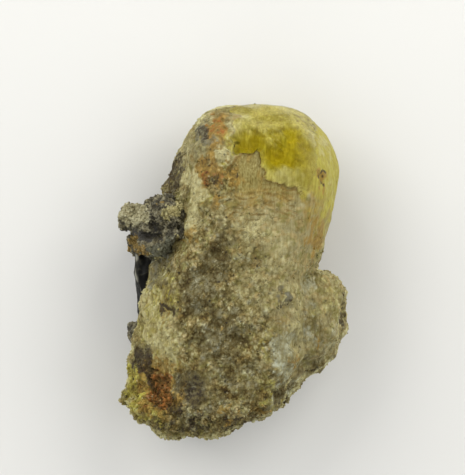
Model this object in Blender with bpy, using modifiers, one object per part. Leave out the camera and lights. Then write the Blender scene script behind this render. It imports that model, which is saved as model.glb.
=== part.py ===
"""Remondite specimen, for Blender 4.5.

A stout pseudo-hexagonal crystal with a rounded cap lies on its flat broken back. A smaller crystal is
intergrown with its right flank, and a remnant of grey matrix clings to its left flank.

The frame: +Y runs along the crystal towards its cap, +X to its right and +Z up, with the origin on the
resting plane, under the middle of the whole specimen. Lengths are in metres.
"""

import bpy
import bmesh
import numpy as np
from mathutils import Matrix

MM = 0.001

# ---- driving dimensions -------------------------------------------------------------------------
CAP_Y = 21.1 * MM  # tip of the rounded cap
FOOT_Y = -20.6 * MM  # tip of the broken end
BELT_Z = 7.4 * MM  # height of the side edges of the prism, where it is widest
BACK_DEPTH = 9.0 * MM  # how far the unbroken prism would reach below its belt
SIDE_CAP_Y = 0.1 * MM
SIDE_FOOT_Y = -12.6 * MM
SIDE_LEFT_X = 4.0 * MM
SIDE_RIGHT_X = 14.0 * MM
SIDE_BELT_Z = 6.8 * MM
SIDE_RISE = 5.6 * MM  # height of the side crystal's upper face above its belt
SIDE_DEPTH = 5.0 * MM
LEDGE_DEPTH = 0.4 * MM  # thickness of the layer that has peeled off the upper face
CONTACT_GAP = 0.3 * MM  # between the matrix and the crystal that it clings to

STATIONS = 64  # cross-sections along the main crystal
AROUND = 56  # points around each cross-section
STATIONS_SIDE, AROUND_SIDE = 22, 26
UPPER_DENSITY = 0.45  # 0 spaces a section's points evenly, and towards 1 they crowd on the upper face
EDGE_POWER = 10  # how crisp the long edges of a prism are
EDGE_BLUNTING = 0.12  # how blunt its side edges are
LEDGE_WIDTH = 0.9  # millimetres over which the peeled layer's edge falls, about one mesh cell


# ---- shape functions ----------------------------------------------------------------------------
def through(knots, y):
    """Smooth values at y through (y, value) knots, as cubic pieces with the neighbours' mean slope."""
    knot_y, knot_value = np.array(sorted(knots), float).T
    slope = np.gradient(knot_value, knot_y)
    i = np.clip(np.searchsorted(knot_y, y) - 1, 0, len(knot_y) - 2)
    span = knot_y[i + 1] - knot_y[i]
    t = np.clip((y - knot_y[i]) / span, 0, 1)
    start = (2 * t**3 - 3 * t**2 + 1) * knot_value[i] + (t**3 - 2 * t**2 + t) * span * slope[i]
    end = (3 * t**2 - 2 * t**3) * knot_value[i + 1] + (t**3 - t**2) * span * slope[i + 1]
    return start + end


def rounding(y, shoulder, tip, power):
    """1 up to the shoulder, falling to 0 at the tip along a superellipse of this power."""
    t = np.clip((y - shoulder) / (tip - shoulder), 0, 1)
    return (1 - t**power) ** (1 / power)


def waves(points, size, seed):
    """Smooth noise of unit strength with lumps of this size: plane waves in random directions."""
    rng = np.random.default_rng(seed)
    count = 28
    directions = rng.normal(size=(count, 3))
    directions /= np.linalg.norm(directions, axis=1)[:, None]
    wavelengths = 2 * size * rng.uniform(0.7, 1.4, count)
    phases = rng.uniform(0, 2 * np.pi, count)
    angles = points @ (2 * np.pi * directions / wavelengths[:, None]).T + phases
    return np.cos(angles).sum(axis=1) * np.sqrt(2 / count)


def hump(points, centre, reach):
    """1 at the centre, falling smoothly to nothing past this reach on each axis."""
    return np.exp(-((((points - np.array(centre)) / np.array(reach)) ** 2).sum(axis=1)))


def prism_section(angle, left_slope, right_slope, edge_power):
    """Unit cross-section of a six-sided prism that lies on a face, as (across, up) in -1..1.

    A point is on the prism where the larger of |up| and |across| + slope * |up| is 1. The power mean
    of the two rounds the long edges, and blunting |up| near 0 rounds the two side edges.
    """
    across, up = np.cos(angle), np.sin(angle)
    slope = np.where(across < 0, left_slope, right_slope)
    blunt_up = np.sqrt(up**2 + EDGE_BLUNTING**2) - EDGE_BLUNTING
    size = (np.abs(up) ** edge_power + (np.abs(across) + slope * blunt_up) ** edge_power) ** (1 / edge_power)
    return across / size, up / size


def prism_surface(form, stations, around):
    """Points of a prism body as an array (stations, around, 3), from its outline functions of y.

    Rows lie closer together near the tips, and points lie closer on the upper face than on the back.
    """
    turn = np.linspace(0, np.pi, stations)
    y = (form["cap_y"] + form["foot_y"]) / 2 + (form["cap_y"] - form["foot_y"]) / 2 * np.cos(turn)
    even = np.linspace(0, 2 * np.pi, around, endpoint=False)[None, :]
    angle = even + UPPER_DENSITY * np.cos(even)
    left, right = form["left_edge"](y)[:, None], form["right_edge"](y)[:, None]
    left_slope, right_slope = form["left_slope"](y)[:, None], form["right_slope"](y)[:, None]
    across, up = prism_section(angle, left_slope, right_slope, EDGE_POWER)
    rise = np.where(up > 0, form["rise"](y)[:, None], form["depth"](y)[:, None])
    x = (left + right) / 2 + (right - left) / 2 * form["ends"](y)[:, None] * across
    z = form["belt_z"] + rise * up
    return np.stack([x, np.broadcast_to(y[:, None], x.shape), z], axis=2)


# ---- the forms of the two crystals --------------------------------------------------------------
def main_form():
    """The main crystal. Knots are (y, value) in millimetres, and slopes have no unit."""
    left_edge = [(21.1, -7.2), (18.5, -7.0), (15, -7.7), (12.5, -8.1), (10, -8.8), (7, -9.3), (3.3, -10.3),
                 (-0.4, -11.4), (-4.2, -12.1), (-8, -13.2), (-11, -13.9), (-14, -13.8), (-16.5, -14.9),
                 (-21.1, -16.4)]
    right_edge = [(21.1, 12.2), (18.5, 12.5), (15, 13.0), (12.5, 13.3), (10, 13.0), (7, 12.4), (3.3, 11.1),
                  (0, 10.2), (-4.2, 9.6), (-8, 9.8), (-12.5, 9.3), (-14.5, 7.4), (-16.5, 6.6), (-21.1, 2.0)]
    left_slope = [(21.1, 0.4), (10, 0.46), (0, 0.52), (-10, 0.62), (-21.1, 0.6)]
    right_slope = [(21.1, 0.42), (5, 0.34), (-10, 0.34), (-21.1, 0.45)]
    rise = [(21.1, 8.0), (14, 8.4), (6, 8.7), (-4, 8.8), (-12, 8.3), (-21.1, 7.6)]

    def ends(y):
        return rounding(y, 13 * MM, CAP_Y, 2.3) * rounding(y, -16 * MM, FOOT_Y, 1.4)

    def swell(y):
        return rounding(y, 9 * MM, CAP_Y, 2.1) * rounding(y, -13 * MM, FOOT_Y, 3.2)

    return {
        "cap_y": CAP_Y,
        "foot_y": FOOT_Y,
        "belt_z": BELT_Z,
        "ends": ends,
        "left_edge": lambda y: MM * through(left_edge, y / MM),
        "right_edge": lambda y: MM * through(right_edge, y / MM),
        "left_slope": lambda y: through(left_slope, y / MM),
        "right_slope": lambda y: through(right_slope, y / MM),
        "rise": lambda y: MM * through(rise, y / MM) * swell(y),
        "depth": lambda y: BACK_DEPTH * swell(y),
    }


def side_form():
    """The side crystal: a short prism of even width, whose left half lies inside the main crystal."""
    def ends(y):
        return rounding(y, -3.6 * MM, SIDE_CAP_Y, 3) * rounding(y, -6 * MM, SIDE_FOOT_Y, 2)

    return {
        "cap_y": SIDE_CAP_Y,
        "foot_y": SIDE_FOOT_Y,
        "belt_z": SIDE_BELT_Z,
        "ends": ends,
        "left_edge": lambda y: SIDE_LEFT_X + 0 * y,
        "right_edge": lambda y: SIDE_RIGHT_X + 0 * y,
        "left_slope": lambda y: 0.5 + 0 * y,
        "right_slope": lambda y: 0.42 + 0 * y,
        "rise": lambda y: SIDE_RISE * ends(y) ** 0.7,
        "depth": lambda y: SIDE_DEPTH * ends(y) ** 0.7,
    }


def peeled(across, along):
    """1 inside the patch where a thin layer has peeled off the upper face, below a wavy ledge.

    Both are in millimetres. The ledge runs across the face, and the patch fades out down the crystal.
    """
    knots = [(-2.2, 11.2), (-1.0, 12.4), (0.7, 14.5), (2.9, 14.9), (3.5, 12.2), (5.4, 10.9), (8.4, 8.6)]
    ledge = through(knots, across)
    below = np.clip((ledge - along) / LEDGE_WIDTH + 0.5, 0, 1)
    fade = np.clip((along - 7.6) / 3, 0, 1)
    sides = np.clip((across + 1.9) / 0.8, 0, 1) * np.clip((8.8 - across) / 0.8, 0, 1)
    return below * fade * sides


def crust_relief(points):
    """How far the crust stands out of the plain prism: lumps, two pitted hollows and the peeled patch."""
    at = points / MM
    x, y, z = at.T
    coarse = np.clip((13 - y) / 9, 0.25, 1)
    broken = np.clip((-13 - y) / 4, 0, 1)
    lumps = 0.2 * waves(at, 5.5, 1) + 0.17 * coarse * waves(at, 1.7, 2) + 0.26 * broken * waves(at, 2.6, 3)
    hollows = -1.0 * hump(at, (-8.6, -12.8, 13), (1.9, 3.0, 5))
    hollows = hollows - 0.5 * hump(at, (-8.1, -4.8, 14), (1.2, 1.0, 4))
    ledge = -LEDGE_DEPTH / MM * peeled(x, y) * (z > BELT_Z / MM)
    return (lumps + hollows + ledge) * MM


# ---- making the meshes --------------------------------------------------------------------------
def closed_mesh(name, rows):
    """A mesh through rows of points, closed around each row and with its ends joined to one point."""
    stations, around = rows.shape[:2]
    inner = rows[1:-1].reshape(-1, 3)
    tips = np.array([rows[0].mean(axis=0), rows[-1].mean(axis=0)])
    k = np.arange(stations - 3)[:, None] * around
    j = np.arange(around)[None, :]
    after = (j + 1) % around
    quads = np.stack([k + j, k + around + j, k + around + after, k + after], axis=2).reshape(-1, 4)
    first_tip, last_tip, last_row = len(inner), len(inner) + 1, (stations - 3) * around
    j, after = j[0], after[0]
    cap = np.stack([np.full(around, first_tip), j, after], axis=1)
    foot = np.stack([np.full(around, last_tip), last_row + after, last_row + j], axis=1)
    mesh = bpy.data.meshes.new(name)
    mesh.from_pydata(np.vstack([inner, tips]).tolist(), [], quads.tolist() + cap.tolist() + foot.tolist())
    return mesh


def displaced(mesh, relief, grow=0.0):
    """Moves each point of the mesh along its normal by its relief, plus an even growth."""
    count = len(mesh.vertices)
    points, normals = np.empty(count * 3), np.empty(count * 3)
    mesh.vertices.foreach_get("co", points)
    mesh.vertex_normals.foreach_get("vector", normals)
    points, normals = points.reshape(-1, 3), normals.reshape(-1, 3)
    moved = points + normals * (relief(points) + grow)[:, None]
    mesh.vertices.foreach_set("co", moved.ravel())
    mesh.update()
    return mesh


def face_outwards(mesh):
    shape = bmesh.new()
    shape.from_mesh(mesh)
    bmesh.ops.recalc_face_normals(shape, faces=shape.faces)
    shape.to_mesh(mesh)
    shape.free()
    return mesh


def add_object(name, mesh, collection, material=None):
    made = bpy.data.objects.new(name, mesh)
    collection.objects.link(made)
    if material:
        made.data.materials.append(material)
    return made


def add_helper(name, mesh):
    """An object that only cuts or joins, and isn't part of the specimen."""
    made = add_object(name, mesh, cutters)
    made.hide_render = True
    made.display_type = "WIRE"
    return made


def add_boolean(target, operation, other):
    step = target.modifiers.new(f"{operation.lower()} {other.name}", "BOOLEAN")
    step.operation = operation
    step.object = other


def finish_material(name, colour, roughness):
    made = bpy.data.materials.new(name)
    made.use_nodes = True
    shader = made.node_tree.nodes["Principled BSDF"]
    shader.inputs["Base Color"].default_value = (*colour, 1)
    shader.inputs["Roughness"].default_value = roughness
    shader.inputs["Metallic"].default_value = 0.0
    made.diffuse_color = (*colour, 1)
    return made


def crystal_mesh(name, form, stations, around, grow=0.0):
    mesh = face_outwards(closed_mesh(name, prism_surface(form, stations, around)))
    return displaced(mesh, crust_relief, grow)


def block_mesh(name, centre, size, turn_z=0.0, bevel=0.0):
    """A box by its centre, size and turn about Z, with its edges cut off by the bevel."""
    shape = bmesh.new()
    place = Matrix.Translation(centre) @ Matrix.Rotation(turn_z, 4, "Z") @ Matrix.Diagonal((*size, 1))
    bmesh.ops.create_cube(shape, size=1, matrix=place)
    if bevel:
        bmesh.ops.bevel(shape, geom=shape.edges, offset=bevel, segments=1, affect="EDGES")
    mesh = bpy.data.meshes.new(name)
    shape.to_mesh(mesh)
    shape.free()
    return mesh


def knob_mesh(name, centre, radii):
    """A ball drawn out to these radii."""
    shape = bmesh.new()
    place = Matrix.Translation(centre) @ Matrix.Diagonal((*radii, 1))
    bmesh.ops.create_icosphere(shape, subdivisions=3, radius=1, matrix=place)
    mesh = bpy.data.meshes.new(name)
    shape.to_mesh(mesh)
    shape.free()
    return mesh


# ---- the specimen -------------------------------------------------------------------------------
def build_crystal():
    """The main crystal, its side crystal grown into it, and the flat back where both broke off."""
    material = finish_material("crystal_crust", (0.27, 0.23, 0.11), 0.6)
    crystal = add_object(
        "remondite_crystal", crystal_mesh("main crystal", main_form(), STATIONS, AROUND), specimen, material
    )
    side = add_helper("side crystal", crystal_mesh("side crystal", side_form(), STATIONS_SIDE, AROUND_SIDE))
    bed = add_helper("bed", block_mesh("bed", (0, 0, -10 * MM), (60 * MM, 60 * MM, 20 * MM)))
    add_boolean(crystal, "UNION", side)
    add_boolean(crystal, "DIFFERENCE", bed)
    return crystal


MATRIX_BLOCKS = [  # centre, size in mm, turn about Z in degrees: slab, its lower end, lump, its lower part
    ((-10.4, -0.6, 4.2), (4.2, 10.4, 7.0), 3),
    ((-10.4, -6.6, 4.2), (3.6, 4.4, 4.6), -6),
    ((-8.9, 5.5, 9.2), (7.0, 5.8, 9.4), 24),
    ((-10.6, 4.8, 5.4), (4.4, 6.0, 8.0), -12),
]
MATRIX_KNOBS = [  # centre, radii in mm: nub, top of the lump, its lower corner, bump at the slab's end
    ((-12.4, 6.8, 9.0), (2.0, 1.7, 2.4)),
    ((-8.4, 7.2, 11.4), (3.0, 2.2, 3.6)),
    ((-12.3, 3.9, 7.2), (1.5, 1.4, 1.7)),
    ((-12.2, -7.9, 4.4), (1.3, 1.6, 1.7)),
]


def build_matrix():
    """A broken remnant of grey rock: blocks and knobs welded by a remesh, roughened, and cut to fit."""
    material = finish_material("matrix_rock", (0.10, 0.095, 0.07), 0.75)
    shape = bmesh.new()
    for centre, size, turn in MATRIX_BLOCKS:
        centre, size = [c * MM for c in centre], [s * MM for s in size]
        block = block_mesh("block", centre, size, np.radians(turn), 0.7 * MM)
        shape.from_mesh(block)
    for centre, radii in MATRIX_KNOBS:
        shape.from_mesh(knob_mesh("knob", [c * MM for c in centre], [r * MM for r in radii]))
    mesh = bpy.data.meshes.new("matrix")
    shape.to_mesh(mesh)
    shape.free()
    matrix = add_object("matrix_remnant", mesh, specimen, material)
    weld = matrix.modifiers.new("weld", "REMESH")
    weld.mode = "VOXEL"
    weld.voxel_size = 0.5 * MM
    grit = bpy.data.textures.new("grit", "CLOUDS")
    grit.noise_scale = 1.5 * MM
    roughen = matrix.modifiers.new("roughen", "DISPLACE")
    roughen.texture = grit
    roughen.texture_coords = "LOCAL"
    roughen.strength = 1.3 * MM
    roughen.mid_level = 0.5
    thin = matrix.modifiers.new("thin", "DECIMATE")
    thin.ratio = 0.42
    contact = add_helper(
        "crystal contact", crystal_mesh("crystal contact", main_form(), STATIONS, AROUND, CONTACT_GAP)
    )
    add_boolean(matrix, "DIFFERENCE", contact)
    return matrix


for old in list(bpy.data.objects):
    bpy.data.objects.remove(old)
specimen = bpy.data.collections.new("remondite specimen")
cutters = bpy.data.collections.new("cutters")
bpy.context.scene.collection.children.link(specimen)
bpy.context.scene.collection.children.link(cutters)
build_crystal()
build_matrix()
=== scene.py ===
# %% [markdown]
# # A remondite crystal specimen
# Remondite is a rare-earth carbonate that grows as stout six-sided crystals. This one lies on its
# broken back. Its cap is clear enough to show a yellow body, and a granular crust hides the rest. A
# smaller crystal has grown into its right flank, and a remnant of the dark rock that it grew on
# clings to its left flank. The frame gives the fixed solids, and each is replaced by a finer skin.

# %% Load the frame
from functools import partial

import bpy
import numpy as np
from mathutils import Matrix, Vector


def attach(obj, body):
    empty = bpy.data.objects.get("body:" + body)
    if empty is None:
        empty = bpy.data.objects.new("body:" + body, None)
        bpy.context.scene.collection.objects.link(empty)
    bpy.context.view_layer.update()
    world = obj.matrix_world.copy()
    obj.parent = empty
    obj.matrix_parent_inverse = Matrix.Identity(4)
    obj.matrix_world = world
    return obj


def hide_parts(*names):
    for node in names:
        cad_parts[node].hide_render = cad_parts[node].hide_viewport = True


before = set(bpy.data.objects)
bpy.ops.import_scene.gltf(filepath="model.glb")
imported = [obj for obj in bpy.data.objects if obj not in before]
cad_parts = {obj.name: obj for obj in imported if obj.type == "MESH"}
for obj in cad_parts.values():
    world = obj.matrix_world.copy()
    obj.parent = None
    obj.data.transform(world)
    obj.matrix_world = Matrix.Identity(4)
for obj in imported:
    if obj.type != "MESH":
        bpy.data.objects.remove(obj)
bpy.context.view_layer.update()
MM = 0.001

# %% [markdown]
# ## Camera
# A specimen that can't stand is shown from straight above, lying on a table. A long lens a quarter
# of a metre away keeps the crystal's sides nearly parallel, as a macro lens does.

# %% Camera
LENS_MM, CAMERA_HEIGHT = 150, 0.2549
LOOK_X, LOOK_Y = -0.28 * MM, 4.28 * MM
NEAREST_SEEN = 0.01


def add_camera():
    camera = bpy.data.objects.new("camera", bpy.data.cameras.new("camera"))
    camera.data.lens = LENS_MM
    camera.data.clip_start = NEAREST_SEEN
    camera.location = (LOOK_X, LOOK_Y, CAMERA_HEIGHT)
    bpy.context.scene.collection.objects.link(camera)
    bpy.context.scene.camera = camera


add_camera()
print("camera looks down from", CAMERA_HEIGHT, "m")

# %% [markdown]
# ## Floor and light
# The table is a plain pale sheet. Two broad lamps beyond the cap, one to each side, are the main
# light, so brightness falls away towards the broken foot and every grain throws a small shadow that
# way. Three weaker lamps at the sides and the foot, and a pale world, keep the shadows open.
# Standard colour keeps a pigment's colour as it is, where a film-like transform would grey it.

# %% Floor and light
FLOOR_SIDE, FLOOR_Z = 3.0, -0.00005
FLOOR_COLOUR, FLOOR_ROUGHNESS = (0.62, 0.62, 0.60, 1), 0.85
WORLD_COLOUR, WORLD_LEVEL = (0.95, 0.97, 1.0, 1), 0.30
LAMPS = {  # place and aim in metres, side in metres, watts, colour
    "left_key": ((-0.25, 0.27, 0.22), (0.0, 0.008, 0.008), 0.34, 1.45, (1.0, 0.98, 0.94)),
    "right_key": ((0.25, 0.27, 0.22), (0.0, 0.008, 0.008), 0.34, 1.45, (1.0, 0.98, 0.94)),
    "left_lamp": ((-0.34, -0.02, 0.24), (0.0, 0.0, 0.008), 0.40, 0.70, (0.99, 0.99, 1.0)),
    "right_lamp": ((0.34, -0.02, 0.24), (0.0, 0.0, 0.008), 0.40, 0.80, (1.0, 0.99, 0.97)),
    "foot_lamp": ((-0.04, -0.34, 0.24), (0.0, -0.012, 0.008), 0.40, 0.45, (1.0, 0.99, 0.97)),
}


def add_lamp(name, place, aim, side, watts, colour):
    """A square area lamp turned so that its lit face looks from its place to the aim."""
    lamp = bpy.data.objects.new(name, bpy.data.lights.new(name, "AREA"))
    lamp.data.size, lamp.data.energy, lamp.data.color = side, watts, colour
    lamp.location = place
    lamp.rotation_euler = (Vector(aim) - Vector(place)).to_track_quat("-Z", "Y").to_euler()
    bpy.context.scene.collection.objects.link(lamp)


def add_floor():
    """A flat square sheet of pale, matt table."""
    half = FLOOR_SIDE / 2
    mesh = bpy.data.meshes.new("floor")
    corners = [(-half, -half), (half, -half), (half, half), (-half, half)]
    mesh.from_pydata([(x, y, FLOOR_Z) for x, y in corners], [], [(0, 1, 2, 3)])
    floor = bpy.data.objects.new("floor", mesh)
    bpy.context.scene.collection.objects.link(floor)
    pale = bpy.data.materials.new("pale_table")
    pale.use_nodes = True
    shader = pale.node_tree.nodes["Principled BSDF"]
    shader.inputs["Base Color"].default_value = FLOOR_COLOUR
    shader.inputs["Roughness"].default_value = FLOOR_ROUGHNESS
    mesh.materials.append(pale)


def add_world():
    world = bpy.data.worlds.new("world")
    world.use_nodes = True
    background = world.node_tree.nodes["Background"]
    background.inputs["Color"].default_value = WORLD_COLOUR
    background.inputs["Strength"].default_value = WORLD_LEVEL
    bpy.context.scene.world = world


bpy.context.scene.view_settings.view_transform = "Standard"
for lamp_name, settings in LAMPS.items():
    add_lamp(lamp_name, *settings)
add_floor()
add_world()
print("lamps:", ", ".join(LAMPS))

# %% [markdown]
# ## Curves and noise
# Rock and crystal are shaped by a few kinds of function. A curve through named values gives an
# outline. A superellipse rounds an end. Plane waves in random directions add up to soft lumps. A
# cell noise, which finds the nearest of many scattered points, gives packed grains. Each works on
# whole arrays at once, because a skin has a hundred thousand points.


# %% Curves and noise
def through(knots, y):
    """Smooth values at y through (y, value) knots, as cubic pieces with the neighbours' mean slope."""
    knot_y, knot_value = np.array(sorted(knots), float).T
    slope = np.gradient(knot_value, knot_y)
    i = np.clip(np.searchsorted(knot_y, y) - 1, 0, len(knot_y) - 2)
    span = knot_y[i + 1] - knot_y[i]
    t = np.clip((y - knot_y[i]) / span, 0, 1)
    start = (2 * t**3 - 3 * t**2 + 1) * knot_value[i] + (t**3 - 2 * t**2 + t) * span * slope[i]
    end = (3 * t**2 - 2 * t**3) * knot_value[i + 1] + (t**3 - t**2) * span * slope[i + 1]
    return start + end


def rounding(y, shoulder, tip, power):
    """1 up to the shoulder, falling to 0 at the tip along a superellipse of this power."""
    t = np.clip((y - shoulder) / (tip - shoulder), 0, 1)
    return (1 - t**power) ** (1 / power)


def ramp(x, low, high):
    """0 below low and 1 above high, with a smooth cubic step between."""
    t = np.clip((x - low) / (high - low), 0, 1)
    return t * t * (3 - 2 * t)


def between(x, start, full, last, end):
    """A plateau: 0 up to start, 1 from full to last and 0 past end, with smooth steps."""
    return ramp(x, start, full) * ramp(-x, -end, -last)


def waves(at, size, seed):
    """Smooth noise of unit strength with lumps of this size: plane waves in random directions."""
    rng = np.random.default_rng(seed)
    count = 28
    directions = rng.normal(size=(count, 3))
    directions /= np.linalg.norm(directions, axis=1)[:, None]
    wavelengths = 2 * size * rng.uniform(0.7, 1.4, count)
    phases = rng.uniform(0, 2 * np.pi, count)
    angles = at @ (2 * np.pi * directions / wavelengths[:, None]).T + phases
    return np.cos(angles).sum(axis=1) * np.sqrt(2 / count)


def hump(at, centre, reach):
    """A bell: 1 at the centre, falling smoothly to nothing past this reach on each axis."""
    return np.exp(-((((at - np.array(centre)) / np.array(reach)) ** 2).sum(axis=1)))


def near_spots(place, spots, inner, outer):
    """1 inside any spot (centre, reach), fading to 0 between these shares of its reach."""
    far = [np.hypot(*((place - np.array(centre)) / np.array(reach)).T) for centre, reach in spots]
    return 1 - ramp(np.minimum.reduce(far), inner, outer)


def scatter(cell, seed):
    """Four random numbers in 0..1 for each whole-number cell (n, 3), by mixing the bits of its place."""
    key = cell.astype(np.uint64)
    mixed = key[:, 0] * np.uint64(0x9E3779B97F4A7C15) + key[:, 1] * np.uint64(0xC2B2AE3D27D4EB4F)
    mixed += key[:, 2] * np.uint64(0x165667B19E3779F9) + np.uint64(seed * 0x27D4EB2F + 1)
    mixed ^= mixed >> np.uint64(29)
    mixed *= np.uint64(0xBF58476D1CE4E5B9)
    mixed ^= mixed >> np.uint64(32)
    mixed *= np.uint64(0x94D049BB133111EB)
    mixed ^= mixed >> np.uint64(31)
    parts = [(mixed >> np.uint64(16 * k)) & np.uint64(0xFFFF) for k in range(4)]
    return np.stack(parts, axis=1) / 65535.0


def cells(at, size, seed):
    """Packed grains of about this size, as (nearness, tone) at each point.

    One point is scattered in each cube of this size. nearness is the distance to the nearest of
    them, in sizes. tone is that one's own random number, so it is even over a grain.
    """
    home = np.floor(at / size).astype(np.int64)
    nearest, tone = np.full(len(at), 9.0), np.zeros(len(at))
    for step in np.ndindex(3, 3, 3):
        cell = home + np.array(step) - 1
        random = scatter(cell, seed)
        distance = np.linalg.norm(cell + random[:, :3] - at / size, axis=1)
        tone = np.where(distance < nearest, random[:, 3], tone)
        nearest = np.minimum(nearest, distance)
    return nearest, tone


probe = np.random.default_rng(0).uniform(-5, 5, (4000, 3))
print("cell noise: nearness", cells(probe, 0.5, 3)[0].mean().round(2), "of a grain")

# %% [markdown]
# ## The crystal's form
# A six-sided prism that lies on a face has a flat top, two slopes and two side edges. One formula
# gives that section: a point is on it where the larger of its height and its slanted width reaches
# 1. Its width, slopes and height change along the crystal, and a superellipse closes each end.
# Rows are spaced evenly along the profile, and points lie closer together on the upper face, where
# the eye looks.

# %% The crystal's form
CAP_Y, FOOT_Y = 21.1, -20.6
BELT_Z, BACK_DEPTH = 7.4, 9.0
SIDE_CAP_Y, SIDE_FOOT_Y = 0.1, -12.6
SIDE_LEFT_X, SIDE_RIGHT_X = 4.0, 14.0
SIDE_BELT_Z, SIDE_RISE, SIDE_DEPTH = 6.8, 5.6, 5.0
EDGE_POWER, EDGE_BLUNTING = 10, 0.12
BACK_SHARE = 0.32
MAIN_KNOTS = {  # (y, value) in millimetres, and slopes have no unit
    "left_edge": [(21.1, -7.2), (18.5, -7.0), (15, -7.7), (12.5, -8.1), (10, -8.8), (7, -9.3), (3.3, -10.3),
                  (-0.4, -11.4), (-4.2, -12.1), (-8, -13.2), (-11, -13.9), (-14, -13.8), (-16.5, -14.9),
                  (-21.1, -16.4)],
    "right_edge": [(21.1, 12.2), (18.5, 12.5), (15, 13.0), (12.5, 13.3), (10, 13.0), (7, 12.4), (3.3, 11.1),
                   (0, 10.2), (-4.2, 9.6), (-8, 9.8), (-12.5, 9.3), (-14.5, 7.4), (-16.5, 6.6), (-21.1, 2.0)],
    "left_slope": [(21.1, 0.4), (10, 0.46), (0, 0.52), (-10, 0.62), (-21.1, 0.6)],
    "right_slope": [(21.1, 0.42), (5, 0.34), (-10, 0.34), (-21.1, 0.45)],
    "full_rise": [(21.1, 8.0), (14, 8.4), (6, 8.7), (-4, 8.8), (-12, 8.3), (-21.1, 7.6)],
}


def main_form():
    """The main crystal: curves through the knots, closed at each end by superellipses."""
    def swell(y):
        return rounding(y, 9, CAP_Y, 2.1) * rounding(y, -13, FOOT_Y, 3.2)

    form = {name: partial(through, knots) for name, knots in MAIN_KNOTS.items()}
    form.update(cap_y=CAP_Y, foot_y=FOOT_Y, belt_z=BELT_Z)
    form["ends"] = lambda y: rounding(y, 13, CAP_Y, 2.3) * rounding(y, -16, FOOT_Y, 1.4)
    form["rise"] = lambda y: form["full_rise"](y) * swell(y)
    form["depth"] = lambda y: BACK_DEPTH * swell(y)
    return form


def side_form():
    """The side crystal: a short prism of even width, whose left half lies inside the main crystal."""
    def ends(y):
        return rounding(y, -3.6, SIDE_CAP_Y, 3) * rounding(y, -6, SIDE_FOOT_Y, 2)

    even = {"left_edge": SIDE_LEFT_X, "right_edge": SIDE_RIGHT_X, "left_slope": 0.5, "right_slope": 0.42}
    form = {name: (lambda y, value=value: value + 0 * y) for name, value in even.items()}
    form.update(cap_y=SIDE_CAP_Y, foot_y=SIDE_FOOT_Y, belt_z=SIDE_BELT_Z, ends=ends)
    form["rise"] = lambda y: SIDE_RISE * ends(y) ** 0.7
    form["depth"] = lambda y: SIDE_DEPTH * ends(y) ** 0.7
    return form


def half_width(form, y):
    return (form["right_edge"](y) - form["left_edge"](y)) / 2 * form["ends"](y)


def middle_x(form, y):
    return (form["left_edge"](y) + form["right_edge"](y)) / 2


def prism_section(angle, left_slope, right_slope):
    """Unit cross-section as (across, up) in -1..1, from the power mean of |up| and the slanted width."""
    across, up = np.cos(angle), np.sin(angle)
    slope = np.where(across < 0, left_slope, right_slope)
    slanted = np.abs(across) + slope * (np.sqrt(up**2 + EDGE_BLUNTING**2) - EDGE_BLUNTING)
    size = (np.abs(up) ** EDGE_POWER + slanted**EDGE_POWER) ** (1 / EDGE_POWER)
    return across / size, up / size


def even_rows(form, count):
    """Places along the crystal that are evenly spaced on its profile, which curves over at each end."""
    turn = np.linspace(0, np.pi, 4000)
    y = (form["cap_y"] + form["foot_y"]) / 2 + (form["cap_y"] - form["foot_y"]) / 2 * np.cos(turn)
    widths = np.diff(half_width(form, y))
    steps = np.sqrt(np.diff(y) ** 2 + np.diff(form["rise"](y)) ** 2 + 0.5 * widths**2)
    along = np.concatenate([[0], np.cumsum(steps)])
    return np.interp(np.linspace(0, along[-1], count), along, y)


def even_angles(form, count):
    """Angles that are evenly spaced round a section, with wider steps on the back."""
    angle = np.linspace(0, 2 * np.pi, 4001)
    across, up = prism_section(angle, form["left_slope"](0.0), form["right_slope"](0.0))
    half = (form["right_edge"](0.0) - form["left_edge"](0.0)) / 2
    height = np.where(up > 0, form["rise"](0.0), form["depth"](0.0))
    steps = np.hypot(np.diff(across) * half, np.diff(up * height))
    steps *= np.where(angle[1:] < np.pi, 1.0, BACK_SHARE)
    round_it = np.concatenate([[0], np.cumsum(steps)])
    return np.interp(np.linspace(0, round_it[-1], count, endpoint=False), round_it, angle)


def prism_surface(form, rows, around):
    """Points of a prism body as an array (rows, around, 3) in millimetres."""
    y = even_rows(form, rows)[:, None]
    angles = even_angles(form, around)[None, :]
    across, up = prism_section(angles, form["left_slope"](y), form["right_slope"](y))
    x = middle_x(form, y) + half_width(form, y) * across
    z = form["belt_z"] + np.where(up > 0, form["rise"](y), form["depth"](y)) * up
    return np.stack([x, np.broadcast_to(y, x.shape), z], axis=2)


def outward(rows):
    """Unit normals of a surface (rows, around, 3) that closes around each row, pointing outwards."""
    along = np.gradient(rows, axis=0)
    around = np.roll(rows, -1, axis=1) - np.roll(rows, 1, axis=1)
    normal = np.cross(around, along)
    normal /= np.linalg.norm(normal, axis=2, keepdims=True) + 1e-12
    middle = rows.mean(axis=1, keepdims=True)
    return normal if (normal * (rows - middle)).sum() > 0 else -normal


MAIN_GRID, SIDE_GRID = (372, 262), (130, 150)  # rows, points around
print("main crystal:", np.ptp(prism_surface(main_form(), *MAIN_GRID), axis=(0, 1)).round(1), "mm")
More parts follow.
